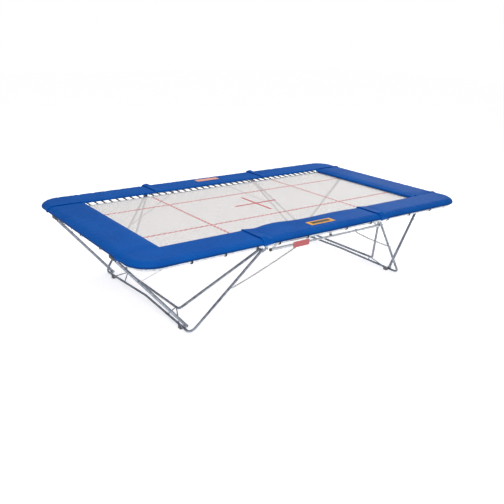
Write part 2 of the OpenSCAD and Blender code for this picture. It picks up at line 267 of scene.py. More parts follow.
def noise_of(tree, where, scale, detail=3.0, distortion=0.0):
    return add(tree, "TexNoise", {"Vector": where, "Scale": scale, "Detail": detail,
                                  "Distortion": distortion}).outputs[0]


def bump(tree, height, distance, strength, normal=None):
    n = add(tree, "Bump", {"Height": height, "Distance": distance, "Strength": strength})
    if normal is not None:
        put(tree, n.inputs["Normal"], normal)
    return n.outputs[0]


def start(name):
    m = bpy.data.materials.new(name)
    m.use_nodes = True
    return m, m.node_tree, add(m.node_tree, "TexCoord").outputs["Object"]


def dressed(material, values):
    for name, value in values.items():
        put(material.node_tree, material.node_tree.nodes["Principled BSDF"].inputs[name], value)
    return material


def worn_edges(tree, lo=0.51, hi=0.58):
    return ranged(tree, add(tree, "NewGeometry").outputs["Pointiness"], lo, hi)


def steel(name, light, dark, rough, spangle=45.0, metallic=0.9, grime=0.35):
    """Zinc-coated steel: a crystal pattern, cloudy stains and a fine tooth."""
    m, t, where = start(name)
    crystal = add(t, "TexVoronoi", {"Vector": where, "Scale": spangle})
    value = add(t, "SeparateColor", {"Color": crystal.outputs["Color"]}).outputs[0]
    cloud = noise_of(t, where, 5.0, 6.0, 0.4)
    tone = calc(t, "ADD", times(t, value, 0.45), times(t, cloud, 0.55))
    colour = blend_colour(t, ranged(t, tone, 0.25, 0.7), dark, light)
    stain = ranged(t, noise_of(t, where, 14.0, 8.0, 1.2), 0.52, 0.75, 0.0, grime)
    colour = blend_colour(t, stain, colour, tuple(c * 0.45 for c in dark))
    bright = tuple(min(1, c * 1.15) for c in light)
    colour = blend_colour(t, times(t, worn_edges(t), 0.4), colour, bright)
    fine = noise_of(t, where, 520.0, 2.0)
    return dressed(m, {
        "Base Color": colour, "Metallic": metallic,
        "Roughness": ranged(t, tone, 0.2, 0.75, rough + 0.12, rough - 0.06),
        "Normal": bump(t, calc(t, "ADD", fine, times(t, value, 0.6)), 0.00015, 0.6),
    })


def vinyl(name, colour, deep, scuff):
    """Coated cover cloth: a fine leather grain, soft creases, uneven dye and scuffed edges."""
    m, t, where = start(name)
    tone = noise_of(t, where, 2.2, 4.0, 0.5)
    base = blend_colour(t, ranged(t, tone, 0.3, 0.7), deep, colour)
    mottle = noise_of(t, where, 60.0, 5.0)
    base = blend_colour(t, ranged(t, mottle, 0.45, 0.8, 0.0, 0.22), base, deep)
    base = blend_colour(t, times(t, worn_edges(t, 0.515, 0.6), 0.35), base, scuff)
    scratch = ranged(t, noise_of(t, where, 35.0, 9.0, 2.5), 0.62, 0.7, 0.0, 0.16)
    base = blend_colour(t, scratch, base, scuff)
    grain = add(t, "TexVoronoi", {"Vector": where, "Scale": 620.0}).outputs[0]
    crease = noise_of(t, where, 16.0, 5.0, 1.1)
    first = bump(t, grain, 0.00025, 0.5)
    return dressed(m, {
        "Base Color": base, "Roughness": ranged(t, mottle, 0.3, 0.7, 0.50, 0.68),
        "Specular IOR Level": 0.06, "Normal": bump(t, crease, 0.004, 0.35, first),
    })


def rubber(name, colour):
    m, t, where = start(name)
    dust = noise_of(t, where, 26.0, 7.0, 0.8)
    base = blend_colour(t, ranged(t, dust, 0.5, 0.8, 0.0, 0.5), colour, tuple(c + 0.05 for c in colour))
    base = blend_colour(t, times(t, worn_edges(t), 0.5), base, tuple(c + 0.08 for c in colour))
    return dressed(m, {
        "Base Color": base, "Roughness": ranged(t, dust, 0.3, 0.8, 0.52, 0.77),
        "Normal": bump(t, noise_of(t, where, 380.0, 3.0), 0.0003, 0.5),
    })


def webbing(name, colour, pitch=0.0022):
    """Narrow woven strap: a diagonal twill with fuzzy edges."""
    m, t, where = start(name)
    x, y, z = add(t, "SeparateXYZ", {"Vector": where}).outputs
    lean = calc(t, "ADD", calc(t, "ADD", x, y), times(t, z, 0.8))
    other = calc(t, "SUBTRACT", calc(t, "ADD", x, times(t, z, 1.3)), y)
    rib = calc(t, "SINE", times(t, lean, math.tau / pitch))
    cross = calc(t, "SINE", times(t, other, math.tau / pitch))
    weave = times(t, rib, cross)
    fuzz = noise_of(t, where, 900.0, 2.0)
    base = blend_colour(t, ranged(t, weave, -1, 1), tuple(c * 0.6 for c in colour), colour)
    pale = tuple(min(1, c + 0.08) for c in colour)
    base = blend_colour(t, ranged(t, fuzz, 0.5, 0.9, 0.0, 0.3), base, pale)
    return dressed(m, {
        "Base Color": base, "Roughness": 0.8, "Sheen Weight": 0.25,
        "Normal": bump(t, calc(t, "ADD", weave, fuzz), 0.0004, 0.6),
    })


def enamel(name, colour, rough=0.3):
    m, t, where = start(name)
    tone = noise_of(t, where, 30.0, 6.0)
    base = blend_colour(t, ranged(t, tone, 0.4, 0.8, 0.0, 0.25), colour, tuple(c * 0.6 for c in colour))
    chipped = tuple(min(1, c + 0.25) for c in colour)
    base = blend_colour(t, times(t, worn_edges(t), 0.4), base, chipped)
    return dressed(m, {
        "Base Color": base, "Roughness": ranged(t, tone, 0.3, 0.8, rough - 0.06, rough + 0.14),
        "Specular IOR Level": 0.25, "Normal": bump(t, noise_of(t, where, 240.0, 2.0), 0.0002, 0.3),
    })


def bed_cloth(name):
    """Open woven web of flat white strands, with red strands for the marking lines and the cross."""
    m, t, _ = start(name)
    x, y, _ = add(t, "SeparateXYZ", {"Vector": add(t, "UVMap", uv_map="web").outputs[0]}).outputs
    pitch = 0.0066

    def tooth(v):
        return times(t, calc(t, "PINGPONG", v, pitch / 2), 2 / pitch)

    def near_line(v, at, width):
        return calc(t, "LESS_THAN", calc(t, "ABSOLUTE", calc(t, "SUBTRACT", v, at)), width / 2)

    hole = times(t, calc(t, "GREATER_THAN", tooth(x), 0.62), calc(t, "GREATER_THAN", tooth(y), 0.62))
    far_x, far_y = calc(t, "ABSOLUTE", x), calc(t, "ABSOLUTE", y)
    spread = add(t, "CombineXYZ", {"X": x, "Y": y, "Z": 0.003}).outputs[0]
    check = add(t, "TexChecker", {"Vector": spread, "Scale": 1 / 0.036}).outputs["Fac"]
    lines = calc(t, "MAXIMUM", near_line(far_y, 0.54, 0.040), near_line(far_x, 1.075, 0.036))
    lines = times(t, lines, ranged(t, check, 0.0, 1.0, 0.25, 1.0))
    arm_x = times(t, near_line(far_x, 0.0, 0.70), near_line(far_y, 0.0, 0.038))
    arm_y = times(t, near_line(far_y, 0.0, 0.70), near_line(far_x, 0.0, 0.036))
    red = calc(t, "MAXIMUM", lines, calc(t, "MAXIMUM", arm_x, arm_y))
    along = calc(t, "SINE", times(t, x, math.tau / pitch / 2))
    over = times(t, along, calc(t, "SINE", times(t, y, math.tau / pitch / 2)))
    flat = add(t, "CombineXYZ", {"X": x, "Y": y, "Z": 0.0}).outputs[0]
    tone = noise_of(t, flat, 7.0, 6.0, 0.6)
    white = blend_colour(t, ranged(t, tone, 0.3, 0.7), (0.625, 0.598, 0.590), (0.655, 0.628, 0.620))
    # darkens alternate cells of the weave: painted shade of the strands' over-under crossings
    white = blend_colour(t, ranged(t, over, -1, 1, 0.0, 0.30), white, (0.56, 0.535, 0.53))
    clear = times(t, hole, ranged(t, red, 0.0, 1.0, 1.0, 0.35))
    return dressed(m, {
        "Base Color": blend_colour(t, red, white, (0.50, 0.030, 0.045)), "Roughness": 0.6,
        "Specular IOR Level": 0.2, "Alpha": calc(t, "SUBTRACT", 1.0, clear),
        "Normal": bump(t, over, 0.0008, 0.5),
    })


GALVANISED = steel("galvanised_steel", (0.66, 0.69, 0.73), (0.42, 0.45, 0.49), 0.40, metallic=0.75)
# steel of the legs and struts, darker than the frame's galvanised steel: the extra darkness is painted shade under
# the pads and painted dark reflection
TUBE_WITH_PAINTED_SHADE = steel("tube_steel_with_painted_shade", (0.33, 0.36, 0.41), (0.12, 0.14, 0.175), 0.36, metallic=0.85)
BAR = steel("bar_steel", (0.60, 0.61, 0.65), (0.42, 0.44, 0.48), 0.48, metallic=0.55, grime=0.25)
PINS = steel("zinc_pins", (0.50, 0.51, 0.53), (0.28, 0.29, 0.31), 0.32, spangle=160.0)
SPRING = steel("spring_steel", (0.22, 0.225, 0.24), (0.09, 0.095, 0.10), 0.34, spangle=300.0)
CHAIN = steel("chain_steel", (0.40, 0.40, 0.41), (0.18, 0.18, 0.19), 0.42, spangle=260.0)
VINYL = vinyl("blue_vinyl", (0.0015, 0.088, 0.385), (0.0005, 0.070, 0.330), (0.02, 0.125, 0.43))
# darker copy of the blue vinyl for the skirts: painted shade along the pads' hanging outer edges
SKIRT_PAINTED_SHADE = vinyl("blue_vinyl_skirt_painted_shade", (0.002, 0.048, 0.220), (0.001, 0.036, 0.170), (0.02, 0.09, 0.28))
THREAD = webbing("blue_thread", (0.03, 0.10, 0.30), 0.0012)
WEB = bed_cloth("bed_web")
HEM = webbing("white_webbing", (0.66, 0.655, 0.65), 0.004)
RUBBER = rubber("black_rubber", (0.018, 0.018, 0.02))
FOOT_RUBBER = rubber("foot_rubber", (0.085, 0.086, 0.09))
STRAP = webbing("black_webbing", (0.018, 0.018, 0.022))
RED = enamel("red_plate", (0.37, 0.010, 0.020))
ORANGE = enamel("orange_patch", (0.82, 0.36, 0.005), 0.5)
PEACH = enamel("peach_patch", (0.80, 0.36, 0.24), 0.4)
DARK = enamel("dark_print", (0.03, 0.028, 0.03), 0.45)

SLOT_LOOKS = {
    "galvanised_steel": GALVANISED, "zinc_plated_pins": PINS, "spring_steel": SPRING,
    "black_rubber": RUBBER, "red_plate": RED, "chain_steel": CHAIN,
    "blue_vinyl": VINYL, "bed_web": HEM, "black_webbing": STRAP, "orange_patch": ORANGE,
}
# legs and struts take the darker tube steel with its painted shade
OTHER_LOOKS = {"leg_outer": TUBE_WITH_PAINTED_SHADE, "leg_inner": TUBE_WITH_PAINTED_SHADE, "strut_left": TUBE_WITH_PAINTED_SHADE, "strut_right": TUBE_WITH_PAINTED_SHADE,
               "lower_bar": BAR, "leg_feet": FOOT_RUBBER}
for part in frame["record"]["subparts"]:
    look = SLOT_LOOKS[part["material_slot"]]
    for prefix, other in OTHER_LOOKS.items():
        if part["node"].startswith(prefix):
            look = other
    materials = frame["nodes"][part["node"]].data.materials
    materials.clear()
    materials.append(look)


# ---------- pads ----------

def rise(distance, radius):
    """0 at an edge, 1 from radius inwards, along a quarter ellipse."""
    d = 1 - min(max(distance / radius, 0.0), 1.0)
    return math.sqrt(max(0.0, 1 - d * d))


def bell(distance, width):
    return math.exp(-(distance / width) ** 2)


def inside(x, y):
    """Distance from the pads' rounded outline, for a point inside it."""
    qx, qy = abs(x) - (PAD_X - PAD_R), abs(y) - (PAD_Y - PAD_R)
    return PAD_R - math.hypot(max(qx, 0), max(qy, 0)) - min(max(qx, qy), 0)


def spaced(start, end, edges_a, edges_b, step):
    """Places from start to end: set distances from both ends, and even steps between them."""
    a = [start + d for d in edges_a]
    b = [end - d for d in reversed(edges_b)]
    count = max(1, round((b[0] - a[-1]) / step))
    return a + [a[-1] + (b[0] - a[-1]) * k / count for k in range(1, count)] + b


EDGE = [0, 0.004, 0.009, 0.014, 0.018, 0.022, 0.032, 0.048]
HINGE_Y = high("fold_hinge_pins").y - 0.0125
NOTCH = [PAD_Y - HINGE_Y + d for d in (-0.022, -0.0185, 0.0, 0.0185, 0.022)]
OUTER = [0, 0.004, 0.009, 0.014, 0.018] + NOTCH + [0.095]
NOTCH_DEPTH = 0.042
STITCH_IN = 0.016


def notch(y):
    return NOTCH_DEPTH if abs(abs(y) - HINGE_Y) < 0.0195 else 0.0


def pad_levels(d_in, d_end, d_out, droop=0.0, tuck=0.075):
    """Heights of the cover above and below the foam at one place."""
    crest = PAD_TOP - 0.002 - (PAD_TOP - 0.002 - RIM) * (1 - rise(d_out, ROLL))
    under = PAD_FOOT - (PAD_FOOT - RIM) * (1 - rise(d_out, 0.016))
    middle = min(NOSE, (crest + under) / 2)
    seam = 0.0016 * bell(min(d_in, d_end) - STITCH_IN, 0.0035) * rise(d_out, 0.03)
    drop = droop * bell(d_in, 0.07)
    z_top = middle + (crest - middle) * rise(d_in, 0.018) * rise(d_end, 0.010) - seam - drop
    z_foot = middle - (middle - under) * rise(d_in, tuck) * rise(d_end, 0.010) - drop
    return z_top, z_foot


def pad_mesh(name, grid):
    """Closed pad from a grid of (x, y, top, foot)."""
    rows, cols = len(grid), len(grid[0])
    verts = [(p[0], p[1], p[2]) for row in grid for p in row]
    verts += [(p[0], p[1], p[3]) for row in grid for p in row]
    under = rows * cols
    faces = []
    for i in range(rows - 1):
        for j in range(cols - 1):
            a, b, c, d = i * cols + j, (i + 1) * cols + j, (i + 1) * cols + j + 1, i * cols + j + 1
            faces += [[a, b, c, d], [under + d, under + c, under + b, under + a]]
    edges = [[(i, j), (i + 1, j)] for j in (0, cols - 1) for i in range(rows - 1)]
    edges += [[(i, j), (i, j + 1)] for i in (0, rows - 1) for j in range(cols - 1)]
    for (i, j), (k, n) in edges:
        a, b = i * cols + j, k * cols + n
        faces.append([a, b, under + b, under + a])
    return make(name, verts, faces)


def puff(obj, loose, cap):
    """Fills the cover with a little air by cloth simulation, held where it is sewn, and keeps the shape."""
    mesh = obj.data
    rest = np.zeros(len(mesh.vertices) * 3)
    mesh.vertices.foreach_get("co", rest)
    rest = rest.reshape(-1, 3)
    free = np.array([loose(*p) for p in rest])
    held = obj.vertex_groups.new(name="sewn")
    for i, w in enumerate(free):
        held.add([i], 1.0 - float(w), "REPLACE")
    cloth = obj.modifiers.new("cover", "CLOTH")
    s = cloth.settings
    s.quality, s.mass, s.air_damping = 5, 0.3, 2.0
    s.tension_stiffness = s.compression_stiffness = 10
    s.shear_stiffness, s.bending_stiffness = 6, 0.4
    s.use_pressure, s.uniform_pressure_force = True, 4.0
    s.shrink_min = s.shrink_max = -0.02
    s.vertex_group_mass, s.pin_stiffness = "sewn", 4.0
    s.effector_weights.gravity = 0
    cloth.collision_settings.use_collision = False
    cloth.point_cache.frame_start, cloth.point_cache.frame_end = 1, 20
    for f in range(1, 21):
        scene.frame_set(f)
    shaped = obj.evaluated_get(bpy.context.evaluated_depsgraph_get()).data
    now = np.zeros(len(rest) * 3)
    shaped.vertices.foreach_get("co", now)
    move = now.reshape(-1, 3) - rest
    far = np.linalg.norm(move, axis=1)
    move *= np.minimum(1.0, cap / np.maximum(far, 1e-9))[:, None] * free[:, None]
    obj.modifiers.remove(cloth)
    obj.vertex_groups.clear()
    scene.frame_set(1)
    mesh.vertices.foreach_set("co", (rest + move).ravel())
    mesh.update()


def finish_pad(kind, grid, distances, body, node, rim, seed, seams):
    """Puffs, smooths and sews one pad, hangs its skirt and returns its surface.

    distances(x, y) gives a place's distance to each kind of edge, rim is the line the skirt hangs from,
    and seams are the stitching's paths in plan.
    """

    def loose(x, y, z):
        d_in, d_out, d_end = distances(x, y)
        if z < pad_levels(d_in, d_end, d_out)[1] + 0.006:
            return 0.0
        edge = min(d_in, d_end, d_out + 0.012)
        calm = min(max((d_end - 0.03) / 0.09, 0.0), 1.0)
        return min(max((edge - STITCH_IN - 0.004) / 0.04, 0.0), 1.0) * calm

    obj = pad_mesh(f"pad_{kind}", grid)
    puff(obj, loose, 0.006)
    sub = obj.modifiers.new("smooth", "SUBSURF")
    sub.levels = sub.render_levels = 1
    paint(obj, VINYL)
    ride(obj, body)
    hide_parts(node)
    hem, thread = Shape(), Shape()
    skirt(hem, rim, seed)
    # the skirt is drawn in the darker vinyl: painted shade along the pad's outer bottom edge
    hem.on(body, f"skirt_{kind}", SKIRT_PAINTED_SHADE, "blue_vinyl")
    surface = BVHTree.FromObject(obj, bpy.context.evaluated_depsgraph_get())
    for seam in seams:
        stitches(thread, surface, [(x, y, PAD_TOP) for x, y in seam])
    thread.on(body, f"thread_{kind}", THREAD, "blue_vinyl")
    return surface


def stitches(shape, surface, path, pitch=0.009, length=0.0052, radius=0.0008):
    """Row of thread stitches along a path, dropped onto a surface."""
    path = [Vector(p) for p in path]
    carried = 0.0
    for a, b in zip(path, path[1:]):
        span = (b - a).length
        d = (b - a).normalized()
        at = carried
        while at < span:
            p = a + d * at
            spot, n = surface.ray_cast(Vector((p.x, p.y, p.z + 0.2)), -UP)[:2]
            if spot is not None:
                side = d.cross(n).normalized()
                c = spot + n * 0.0004
                ends = [c - d * length / 2 - n * 0.0008, c + d * length / 2 - n * 0.0008]
                ring = [c + n * radius, c + side * radius, c - n * radius, c - side * radius]
                cone = [[0, 1, 2], [0, 2, 3], [0, 3, 4], [0, 4, 1]]
                shape.add([ends[0], *ring, ends[1]], cone + [[5, b, a] for _, a, b in cone])
            at += pitch
        carried = at - span


def rim_path(x0, x1, side):
    """Outline along one long side, and round the corner if x1 lies past it, as (point, outward) pairs."""
    points = []
    corner_x = PAD_X - PAD_R
    end = min(x1, corner_x)
    count = max(2, int((end - x0) / 0.02))
    for k in range(count + 1):
        points.append((Vector((x0 + (end - x0) * k / count, side * PAD_Y, 0)), Vector((0, side, 0))))
    if x1 > corner_x:
        centre = Vector((corner_x, side * (PAD_Y - PAD_R), 0))
        for k in range(1, 25):
            a = math.pi / 2 * k / 24
            out = Vector((math.sin(a), side * math.cos(a), 0))
            points.append((centre + out * PAD_R, out))
        y1 = END_PAD_Y + 0.006
        for k in range(1, 8):
            y = side * (PAD_Y - PAD_R + (y1 - PAD_Y + PAD_R) * k / 7)
            points.append((Vector((PAD_X, y, 0)), Vector((1, 0, 0))))
    return points


def skirt(shape, points, seed):
    """Hanging edge of a cover: a soft strip from the pad's rounded edge down over the rail."""
    depth = RIM - SKIRT_FOOT
    rings = []
    for i, (p, out) in enumerate(points):
        wave = noise.noise(Vector((p.x * 3.1, p.y * 3.1, seed)))
        ripple = noise.noise(Vector((p.x * 17, p.y * 17, seed + 4)))
        drop = 0.005 * wave - 0.002
        pull = 0.0015 * ripple
        profile = [
            (-0.0045, 0.0085), (-0.0015, 0.0065), (0.0008, 0.002), (0.0014 + pull, -0.25 * depth),
            (0.0005 + 1.6 * pull, -0.55 * depth), (-0.0020 + 2 * pull, -0.85 * depth - drop * 0.5),
            (-0.0060 + 2 * pull, -depth - drop), (-0.0100 + 2 * pull, -depth - drop - 0.0012),
            (-0.0130 + 2 * pull, -depth - drop + 0.002), (-0.0120 + 2 * pull, -0.7 * depth - drop * 0.5),
            (-0.0090 + pull, -0.3 * depth), (-0.0080, 0.003),
        ]
        rings.append([p + out * o + UP * (RIM + h) for o, h in profile])
    shape.loft(rings)


def mirrored(points, sx):
    return [(Vector((p.x * sx, p.y, p.z)), Vector((n.x * sx, n.y, n.z))) for p, n in points]


# places, widths and depths of the waves in the long pads' inner edges
WAVE = {-1: ((-0.52, 0.26, 0.026), (0.45, 0.30, 0.010)), 1: ((-0.30, 0.30, 0.010), (0.50, 0.22, 0.014))}


def inner_wave(x, d_in, side):
    """How far the loose inner edge of a long pad stands in and up at one place, as (inwards, up)."""
    size = sum(depth * bell(x - at, width) for at, width, depth in WAVE[side])
    fade = bell(d_in, 0.10)
    return size * fade, 0.45 * size * fade


def centre_pad(side_name, side):
    xs = spaced(-CENTRE_END, CENTRE_END, EDGE + [0.075], EDGE + [0.075], 0.026)
    ys = spaced(INNER_Y, PAD_Y, EDGE, OUTER, 0.026)

    def distances(x, y):
        return abs(y) - INNER_Y, inside(x, y), CENTRE_END - abs(x)

    def spot(x, y):
        d_in, d_out, d_end = distances(x, y)
        z1, z0 = pad_levels(d_in, d_end, d_out)
        shift = notch(y) * max(0.0, 1 - d_end / 0.12)
        slack = max(0.0, min(1.0, (d_end - 0.10) / 0.15))
        inward, up = inner_wave(x, d_in, side)
        up *= slack
        return x - math.copysign(shift, x), (y - inward * slack) * side, z1 + up, z0 + up

    grid = [[spot(x, y) for y in ys] for x in xs]
    a = CENTRE_END - STITCH_IN
    seams = [[(-a, y * side), (a, y * side)] for y in (INNER_Y + STITCH_IN, PAD_Y - STITCH_IN)]
    return finish_pad(f"centre_{side_name}", grid, distances, CENTRE, f"centre_pad_{side_name}",
                      rim_path(-CENTRE_END, CENTRE_END, side), 1.0 + side, seams)


def side_pad(end_name, sx, side_name, side):
    corner_x = PAD_X - PAD_R
    xs = spaced(SIDE_START, corner_x, EDGE + [0.075], [0.0], 0.026)
    xs += [corner_x + PAD_R * math.sin(math.pi / 2 * k / 20) for k in range(1, 21)]
    ys = spaced(INNER_Y, PAD_Y, EDGE, OUTER, 0.026)

    def distances(x, y):
        return abs(y) - INNER_Y, inside(x, y), abs(x) - SIDE_START

    def spot(x, y):
        over = x - corner_x
        edge_y = PAD_Y if over <= 0 else PAD_Y - PAD_R + math.sqrt(max(0.0, PAD_R ** 2 - over ** 2))
        yy = INNER_Y + (y - INNER_Y) * (edge_y - INNER_Y) / (PAD_Y - INNER_Y)
        d_in, d_out, d_end = distances(x, yy)
        z1, z0 = pad_levels(d_in, d_end, d_out)
        shift = notch(y) * max(0.0, 1 - d_end / 0.12)
        return (x + shift) * sx, yy * side, z1, z0

    grid = [[spot(x, y) for y in ys] for x in xs]
    rim = mirrored(rim_path(SIDE_START, PAD_X, side), sx)
    y0 = (INNER_Y + STITCH_IN) * side
    seams = [[(SIDE_START * sx, y0), ((PAD_X - 0.02) * sx, y0)], [(p - n * STITCH_IN)[:2] for p, n in rim]]
    finish_pad(f"side_{end_name}_{side_name}", grid, distances, f"end_{end_name}",
               f"side_pad_{end_name}_{side_name}", rim, 2.5 * sx + side, seams)


def end_pad(end_name, sx):
    ys = spaced(-END_PAD_Y, END_PAD_Y, EDGE + [0.075], EDGE + [0.075], 0.026)
    xs = spaced(INNER_X, PAD_X, EDGE, EDGE, 0.026)

    def distances(x, y):
        return abs(x) - INNER_X, inside(x, y), END_PAD_Y - abs(y)

    def spot(x, y):
        d_in, d_out, d_end = distances(x, y)
        return x * sx, y, *pad_levels(d_in, d_end, d_out, 0.012, 0.018)

    grid = [[spot(x, y) for x in xs] for y in ys]
    count, reach = 100, END_PAD_Y - 0.02
    rim = [(Vector((PAD_X * sx, -END_PAD_Y + 2 * END_PAD_Y * k / count, 0)), Vector((sx, 0, 0)))
           for k in range(count + 1)]
    seams = [[(x * sx, -reach), (x * sx, reach)] for x in (INNER_X + STITCH_IN, PAD_X - STITCH_IN)]
    finish_pad(f"end_{end_name}", grid, distances, f"end_{end_name}", f"end_pad_{end_name}",
               rim, 7.0 * sx, seams)


surfaces = {side_name: centre_pad(side_name, side) for side_name, side in SIDES.items()}
for end_name, sx in ENDS.items():
    end_pad(end_name, sx)
    for side_name, side in SIDES.items():
        side_pad(end_name, sx, side_name, side)


# ---------- flaps over the seams ----------

def flap_path(inner, outer):
    """Outline across a pad from its inner edge over its outer edge: (distance out, height, outward)."""
    rest = PAD_TOP - 0.002
    path = [
        (inner - 0.0010, NOSE + 0.001, (-1, 0)), (inner + 0.0020, NOSE + 0.010, (-0.8, 0.6)),
        (inner + 0.009, rest - 0.0012, (-0.35, 0.94)), (inner + 0.02, rest, (0, 1)),
    ]
    count = 40
    for k in range(1, count):
        path.append((inner + 0.02 + (outer - ROLL - inner - 0.02) * k / count, rest, (0, 1)))
    for k in range(15):
        a = math.pi / 2 * k / 14
        n = Vector((math.sin(a) / ROLL, math.cos(a) / (rest - RIM))).normalized()
        path.append((outer - ROLL + ROLL * math.sin(a), RIM + (rest - RIM) * math.cos(a), (n.x, n.y)))
    path += [(outer + 0.0010, RIM - 0.005, (1, 0)), (outer + 0.0005, RIM - 0.011, (0.98, -0.2)),
             (outer - 0.0030, RIM - 0.017, (0.8, -0.6))]
    return path


def flap(name, place, outer, inner, profile, bumps):
    """Thin cover that laps over a seam. place gives a point, profile holds (along, thickness, gap)."""
    path = flap_path(inner, outer)
    rings = []
    for along, thick, gap in profile:
        over, under = [], []
        for out, h, (n_out, n_up) in path:
            lift = bumps(along, out)
            wave = 0.0008 * noise.noise(Vector((along * 40, out * 14, thick * 90)))
            t = thick + gap + wave
            over.append(place(along, out + n_out * t, h + n_up * (t + lift)))
            under.append(place(along, out + n_out * (0.0004 + gap), h + n_up * (0.0004 + gap + lift)))
        rings.append(over + under[::-1])
    shape = Shape()
    shape.loft(rings)
    obj = shape.done(name, VINYL, "blue_vinyl")
    sub = obj.modifiers.new("smooth", "SUBSURF")
    sub.levels = sub.render_levels = 1
    return obj


def lap_profile(merge, free, thick):
    """Thickness from the merged edge, rising to a full rounded lip at the free edge."""
    shares = [0, 0.03, 0.1, 0.2, 0.32, 0.42, 0.5, 0.58, 0.66, 0.74, 0.82, 0.9, 0.96, 0.985, 1.0]
    out = []
    for s in shares:
        t = 0.0006 + thick * (s * s * (3 - 2 * s)) ** 0.8
        if s > 0.985:
            t = thick * 0.5
        gap = 0.0065 * max(0.0, (s - 0.6) / 0.4) ** 2
        out.append((merge + (free - merge) * s, t, gap))
    return out


def knuckle(along, out):
    """Bump in a fold flap over the hinge."""
    return 0.026 * bell(out - HINGE_Y, 0.034) * bell(along - FOLD.x, 0.045)


LAPS = {"left": (FOLD.x - 0.10, FOLD.x + 0.052), "right": (FOLD.x + 0.09, FOLD.x - 0.052)}
for end_name, sx in ENDS.items():
    merge, free = LAPS[end_name]
    for side_name, side in SIDES.items():

        def place(along, out, height, sx=sx, side=side):
            return Vector((along * sx, out * side, height))

        profile = lap_profile(merge, free, 0.0100)
        obj = flap(f"fold_flap_{end_name}_{side_name}", place, PAD_Y, INNER_Y, profile, knuckle)
        with bpy.context.temp_override(object=obj):
            bpy.ops.object.modifier_apply(modifier="smooth")
        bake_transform(obj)

        def place_corner(along, out, height, sx=sx, side=side):
            return Vector((out * sx, along * side, height))

        corner = flap(f"corner_flap_{end_name}_{side_name}", place_corner, PAD_X, INNER_X + 0.050,
                      lap_profile(INNER_Y + 0.06, INNER_Y - 0.032, 0.0075), lambda a, o: 0.0)
        ride(corner, f"end_{end_name}")


# ---------- bed ----------

def sheet(name, corners, nx, ny):
    """Flat grid of bed cloth between four plan corners, with a UV map in metres."""
    a, b, c, d = [Vector((*p, 0)) for p in corners]
    verts = []
    for j in range(ny + 1):
        for i in range(nx + 1):
            u, v = i / nx, j / ny
            p = (a * (1 - u) + b * u) * (1 - v) + (d * (1 - u) + c * u) * v
            verts.append(Vector((p.x, p.y, BED_MIDDLE)))
    faces = [[j * (nx + 1) + i, j * (nx + 1) + i + 1, (j + 1) * (nx + 1) + i + 1, (j + 1) * (nx + 1) + i]
             for j in range(ny) for i in range(nx)]
    mesh = bpy.data.meshes.new(name)
    mesh.from_pydata([tuple(v) for v in verts], [], faces)
    uv = mesh.uv_layers.new(name="web")
    for loop in mesh.loops:
        co = mesh.vertices[loop.vertex_index].co
        uv.data[loop.index].uv = (co.x, co.y)
    mesh.polygons.foreach_set("use_smooth", [True] * len(mesh.polygons))
    obj = into_scene(name, mesh)
    if mesh.polygons[0].normal.z < 0:
        mesh.flip_normals()
    return paint(obj, WEB)


JOIN = 0.10                                       # the bed's end parts start this far inside the fold line
WX, WY = FOLD.x - JOIN, BED_Y                     # the middle part that sinks
PX, PY = 0.30, 0.30                               # its lowest patch


def bend_at_fold(obj, end_name, sx):
    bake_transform(obj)


def wedge(name, corners):
    """Flat part of the bed that reaches in to the lowest patch."""
    obj = sheet(f"bed_web_wedge_{name}", corners, 24, 24)
    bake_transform(obj)


for end_name, sx in ENDS.items():
    x0, x1 = WX * sx, BED_X * sx
    web = sheet(f"bed_web_{end_name}", [(x0, -BED_Y), (x1, -BED_Y), (x1, BED_Y), (x0, BED_Y)], 96, 60)
    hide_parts(f"bed_{end_name}")
    bend_at_fold(web, end_name, sx)
patch = sheet("bed_web_middle", [(-PX, -PY), (PX, -PY), (PX, PY), (-PX, PY)], 12, 12)
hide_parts("bed_centre")
ride(patch, "bed_middle")
for name, sx in ENDS.items():
    wedge(name, [(WX * sx, -WY), (PX * sx, -PY), (PX * sx, PY), (WX * sx, WY)])
for name, sy in SIDES.items():
    wedge(name, [(-WX, WY * sy), (WX, WY * sy), (PX, PY * sy), (-PX, PY * sy)])


HEM_HALF, HEM_THICK = 0.019, 0.0026


def hem_band(shape, x0, x1, y, inward, steps):
    path = [(x0 + (x1 - x0) * k / steps, y - inward * HEM_HALF, BED_MIDDLE) for k in range(steps + 1)]
    shape.band(path, (0, 1, 0), HEM_HALF, HEM_THICK)


def side_edge(sy):
    """Place on the bed's long edge: at along it, o outwards and z up."""
    return lambda at, o, z: Vector((at, (BED_Y + o) * sy, BED_MIDDLE + z))


def loops_along(shape, places, make_point, across):
    """Webbing loops that hold the springs' hooks at the bed's edge."""
    for at in places:
        path = [make_point(at, o, z) for o, z in (
            (-0.012, 0.0035), (-0.004, 0.0042), (0.004, 0.0040), (0.0105, 0.0016),
            (0.0115, -0.0015), (0.0045, -0.0050), (-0.004, -0.0062), (-0.012, -0.0058))]
        shape.band(path, across, 0.0165, 0.0012)


